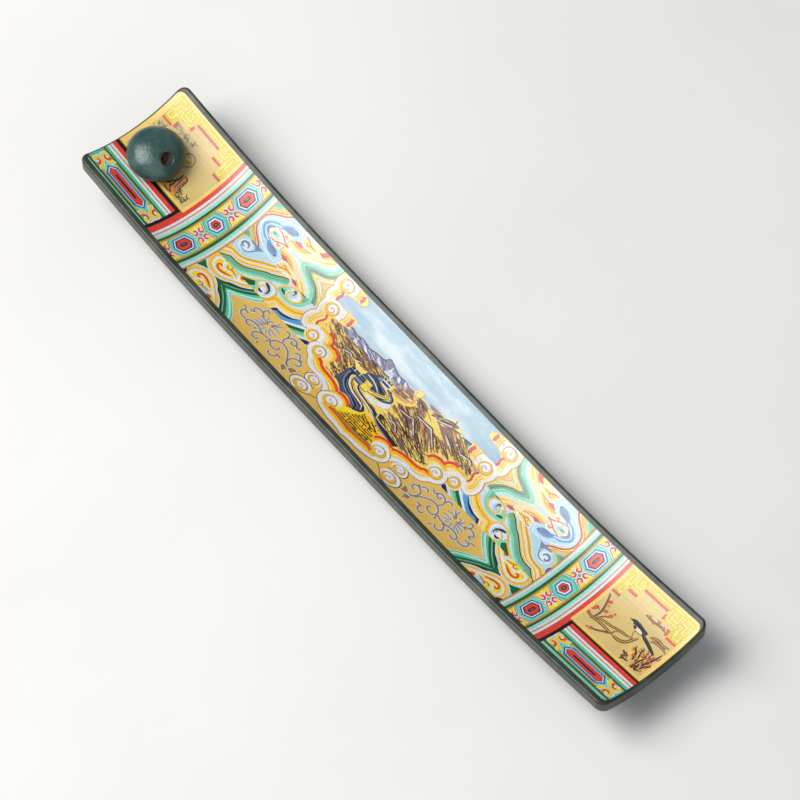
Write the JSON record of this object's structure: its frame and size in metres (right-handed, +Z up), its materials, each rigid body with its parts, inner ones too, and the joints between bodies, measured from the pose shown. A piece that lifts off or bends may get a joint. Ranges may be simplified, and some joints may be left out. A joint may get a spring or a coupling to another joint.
{
  "type": "incense stick holder tray",
  "caption": "Long shallow glazed stoneware tray with upswept ends and a printed beam-painting inner face; a loose flattened bead with a leaning socket holds an incense stick over it.",
  "frame": {"origin": "middle of the overall box in plan, on the table plane under the rest pads", "axes": "+X along the tray from the bead end to the free end, +Y across the tray towards the painted-sky side, +Z up"},
  "size_m": [0.2516, 0.0432, 0.0228],
  "materials": {
    "tray_glaze": "satin dark grey-green glaze, breaking paler on the arrises",
    "printed_transfer": "fired colour transfer, sandy gold ground with enamel colours",
    "bead_glaze": "satin deep green glaze with a faint orange-peel",
    "silicone_seat": "matte black silicone",
    "silicone_pad": "matte translucent grey silicone"
  },
  "bodies": {
    "tray": {"tray_body": "tray_glaze", "print_skin": "printed_transfer", "rest_pad_1": "silicone_pad", "rest_pad_2": "silicone_pad", "rest_pad_3": "silicone_pad", "rest_pad_4": "silicone_pad"},
    "ring": {"seat_ring": "silicone_seat"},
    "bead": {"incense_bead": "bead_glaze"}
  },
  "joints": [
    {"name": "bead_turn", "type": "hinge", "parent": "tray", "child": "ring", "pos_m": [-0.113, -0.001, 0.01285], "axis": [0.1756, 0.02, 0.9843], "continuous": true},
    {"name": "bead_lift", "type": "slide", "parent": "ring", "child": "bead", "axis": [0.1756, 0.02, 0.9843], "range_m": [0, 0.03]}
  ]
}
